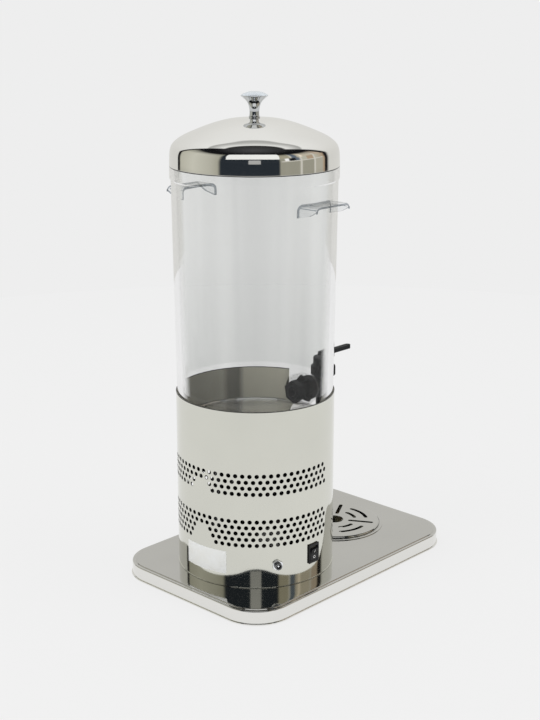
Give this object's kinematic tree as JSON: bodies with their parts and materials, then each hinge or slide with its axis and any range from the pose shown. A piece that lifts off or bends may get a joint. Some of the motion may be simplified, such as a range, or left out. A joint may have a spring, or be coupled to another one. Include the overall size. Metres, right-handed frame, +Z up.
{
  "type": "hot chocolate dispenser machine",
  "caption": "Tall drink dispenser: clear lift-off container with grips and a lever tap, domed steel lid, perforated heated housing, and a base plate with a drip tray.",
  "frame": {"origin": "centre of the base plate in plan, at the bottom of the rubber feet", "axes": "+Z up, the tap and the drip tray face -Y, the switch is on the -X side"},
  "size_m": [0.232, 0.348, 0.557],
  "materials": {
    "steel": "mirror polished",
    "chrome": "polished",
    "zinc": "zinc plated",
    "aluminium": "satin",
    "rubber": "matt",
    "clear_rubber": "clear, soft",
    "silicone": "satin",
    "clear_plastic": "clear, polished",
    "black_plastic": "fine satin",
    "white_plastic": "matt",
    "label": "matt paper film",
    "insulation": "pressed fibre",
    "mat": "matt",
    "wire": "satin"
  },
  "bodies": {
    "base": {"base_plate": "steel", "rubber_feet": "rubber", "floor_disc": "zinc", "floor_screws": "zinc", "floor_nuts": "zinc", "housing_shell": "steel", "rating_label": "label", "posts": "zinc", "post_screws": "zinc", "heater_tray": "zinc", "insulation_disc": "insulation", "heater_mat": "mat", "spreader_disc": "aluminium", "heated_disc": "steel", "thermostat": "black_plastic", "thermal_fuse": "zinc", "terminal_block": "white_plastic", "supply_wires": "wire", "heater_wires": "wire", "switch_body": "black_plastic", "inlet_barrel": "chrome", "inlet_nut": "chrome", "inlet_insulator": "black_plastic", "inlet_pin": "chrome"},
    "rocker": {"switch_rocker": "black_plastic"},
    "pan": {"drip_pan": "steel"},
    "grille": {"drip_grille": "steel"},
    "vessel": {"container": "clear_plastic", "handle_left": "clear_plastic", "handle_right": "clear_plastic", "tap_washer": "clear_rubber", "tap_nut": "black_plastic", "tap_seal": "rubber", "tap_body": "black_plastic", "tap_bonnet": "black_plastic", "lever_pin": "zinc"},
    "stem": {"tap_stem": "black_plastic", "valve_cup": "silicone"},
    "lever": {"tap_lever": "black_plastic"},
    "lid": {"lid_shell": "steel", "lid_gasket": "silicone", "lid_knob": "chrome", "knob_screw": "zinc"}
  },
  "joints": [
    {"name": "container_lift", "type": "slide", "parent": "base", "child": "vessel", "axis": [0, 0, 1], "range_m": [0, 0.12]},
    {"name": "lid_lift", "type": "slide", "parent": "vessel", "child": "lid", "axis": [0, 0, 1], "range_m": [0, 0.1]},
    {"name": "lever_press", "type": "hinge", "parent": "vessel", "child": "lever", "pos_m": [0, -0.06899, 0.2421], "axis": [1, 0, 0], "range_deg": [0, 14], "stiffness_Nm_per_rad": 0.08, "springref_deg": -17.19},
    {"name": "stem_slide", "type": "slide", "parent": "vessel", "child": "stem", "axis": [0, 0, 1], "range_m": [0, 0.0022]},
    {"name": "switch_rock", "type": "hinge", "parent": "base", "child": "rocker", "pos_m": [-0.0855, 0.057, 0.0495], "axis": [0, 1, 0], "range_deg": [0, 16]},
    {"name": "pan_lift", "type": "slide", "parent": "base", "child": "pan", "axis": [0, 0, 1], "range_m": [0, 0.05]},
    {"name": "grille_lift", "type": "slide", "parent": "pan", "child": "grille", "axis": [0, 0, 1], "range_m": [0, 0.05]}
  ],
  "couplings": [
    {"joint": "stem_slide", "follows": "lever_press", "m_per_rad": 0.009}
  ]
}
